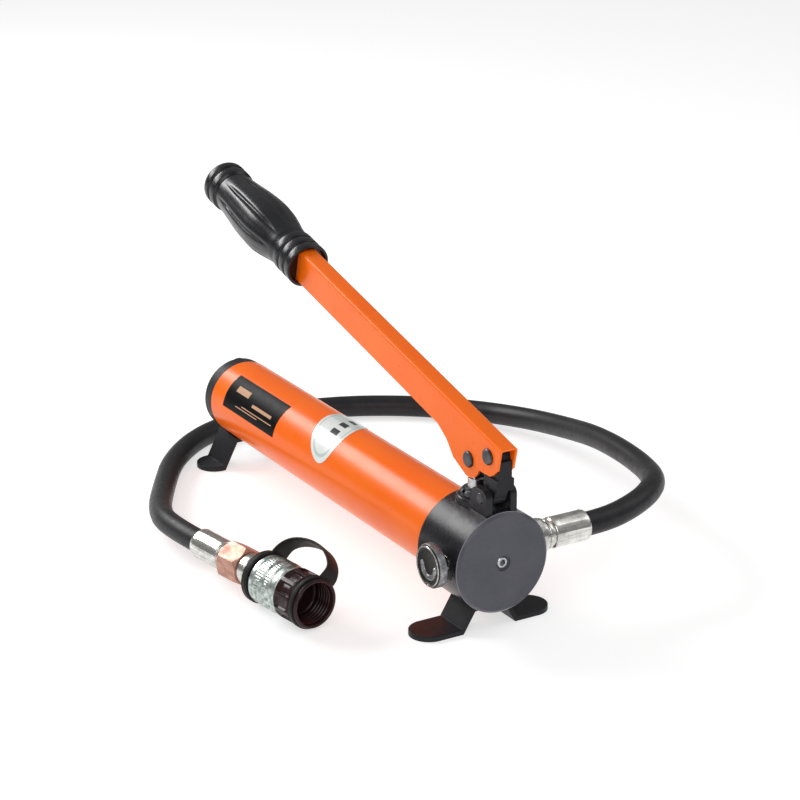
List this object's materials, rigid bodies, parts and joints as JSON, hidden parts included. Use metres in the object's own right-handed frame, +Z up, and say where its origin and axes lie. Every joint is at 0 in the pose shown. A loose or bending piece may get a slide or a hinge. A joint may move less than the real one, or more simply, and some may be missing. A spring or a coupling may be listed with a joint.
{
  "type": "hydraulic hand pump",
  "caption": "Lever-operated hydraulic hand pump: round valve head, oil reservoir tube on two bent feet, release knob, and a hose with a capped quick coupler.",
  "frame": {"origin": "on the floor, at the middle of the rigid pump's length and on the plane of the reservoir's axis", "axes": "+X from the reservoir to the head's front face, +Y to the hose port, +Z up"},
  "size_m": [0.4142, 0.338, 0.2214],
  "materials": {
    "head_paint": "semi-gloss enamel on cast iron",
    "orange_paint": "glossy powder coat",
    "black_paint": "satin black paint",
    "black_plastic": "satin moulded plastic",
    "knob_plastic": "moulded plastic with a worn bright rim",
    "grip_rubber": "glossy moulded rubber",
    "hose_rubber": "smooth hose cover",
    "seal_rubber": "oiled seal rubber",
    "tether_rubber": "matte moulded rubber",
    "cap_plastic": "dark red-brown moulded plastic",
    "bright_steel": "ground steel",
    "dark_steel": "black-oxide steel",
    "zinc": "bright zinc plate",
    "copper_plate": "copper-pink plated steel",
    "brass_pipe": "drawn brass",
    "label_black": "printed film with plain bars",
    "label_white": "white film with plain bars"
  },
  "bodies": {
    "pump": {"pump_head": "head_paint", "gland_nut": "dark_steel", "plunger_seal": "seal_rubber", "plunger_wiper": "seal_rubber", "inlet_ball_clip": "dark_steel", "outlet_spring": "bright_steel", "relief_spring": "bright_steel", "relief_screw": "bright_steel", "reservoir_tube": "orange_paint", "front_tube_seal": "seal_rubber", "rear_tube_seal": "seal_rubber", "rear_cap": "black_plastic", "tie_rod": "bright_steel", "tie_rod_washer": "bright_steel", "tie_rod_nut": "bright_steel", "suction_pipe": "brass_pipe", "suction_strainer": "brass_pipe", "front_foot": "black_paint", "rear_foot": "black_paint", "front_foot_screw": "dark_steel", "rear_foot_screw": "dark_steel", "link_pin": "dark_steel", "hose": "hose_rubber", "outlet_adapter": "zinc", "port_ferrule": "zinc", "end_ferrule": "zinc", "hose_adapter": "copper_plate", "coupler_body": "zinc", "coupler_spring": "bright_steel", "sleeve_retaining_ring": "bright_steel", "cap_tether": "tether_rubber", "maker_label": "label_black", "rating_label": "label_white"},
    "link": {"swing_link": "black_paint"},
    "handle": {"handle_lever": "orange_paint", "grip": "grip_rubber", "fulcrum_pin": "dark_steel", "plunger_pin": "dark_steel", "fulcrum_pin_clip": "dark_steel", "plunger_pin_clip": "dark_steel"},
    "plunger": {"plunger": "bright_steel"},
    "release_valve": {"release_knob": "knob_plastic", "release_spindle": "bright_steel", "release_seal": "seal_rubber"},
    "sleeve": {"coupler_sleeve": "zinc"},
    "dust_cap": {"dust_cap": "cap_plastic"},
    "poppet": {"coupler_poppet": "bright_steel"},
    "inlet_check": {"inlet_ball": "bright_steel"},
    "outlet_check": {"outlet_ball": "bright_steel"},
    "relief_check": {"relief_ball": "bright_steel"},
    "filler": {"filler_plug": "black_plastic", "filler_seal": "seal_rubber"}
  },
  "joints": [
    {"name": "link_swing", "type": "hinge", "parent": "pump", "child": "link", "pos_m": [0.1748, 0, 0.092], "axis": [0, 1, 0], "range_deg": [-2, 4]},
    {"name": "handle_pump", "type": "hinge", "parent": "link", "child": "handle", "pos_m": [0.1763, 0, 0.119], "axis": [0, 1, 0], "range_deg": [-11, 32]},
    {"name": "plunger_slide", "type": "slide", "parent": "pump", "child": "plunger", "axis": [0, 0, 1], "range_m": [-0.006, 0.016]},
    {"name": "release_turn", "type": "hinge", "parent": "pump", "child": "release_valve", "pos_m": [0.1693, -0.04, 0.052], "axis": [0, -1, 0], "range_deg": [0, 340]},
    {"name": "sleeve_spin", "type": "hinge", "parent": "pump", "child": "sleeve", "pos_m": [0.07745, -0.10216, 0.0184], "axis": [0.9898, 0.1426, 0], "continuous": true},
    {"name": "dust_cap_turn", "type": "hinge", "parent": "pump", "child": "dust_cap", "pos_m": [0.10418, -0.09831, 0.0184], "axis": [0.9898, 0.1426, 0], "continuous": true},
    {"name": "poppet_slide", "type": "slide", "parent": "pump", "child": "poppet", "axis": [-0.9898, -0.1426, 0], "range_m": [0, 0.003], "stiffness_N_per_m": 600, "deforming": ["coupler_spring"]},
    {"name": "inlet_check_lift", "type": "slide", "parent": "pump", "child": "inlet_check", "axis": [0, 0, 1], "range_m": [0, 0.0015]},
    {"name": "outlet_check_lift", "type": "slide", "parent": "pump", "child": "outlet_check", "axis": [0, 1, 0], "range_m": [0, 0.0015], "stiffness_N_per_m": 200, "deforming": ["outlet_spring"]},
    {"name": "relief_check_lift", "type": "slide", "parent": "pump", "child": "relief_check", "axis": [1, 0, 0], "range_m": [0, 0.001], "stiffness_N_per_m": 400, "deforming": ["relief_spring"]},
    {"name": "filler_plug_turn", "type": "hinge", "parent": "pump", "child": "filler", "pos_m": [-0.1807, 0.0068, 0.0645], "axis": [-1, 0, 0], "continuous": true}
  ],
  "couplings": [
    {"joint": "link_swing", "follows": "handle_pump", "ratio": 0.1},
    {"joint": "plunger_slide", "follows": "handle_pump", "m_per_rad": 0.02521}
  ]
}
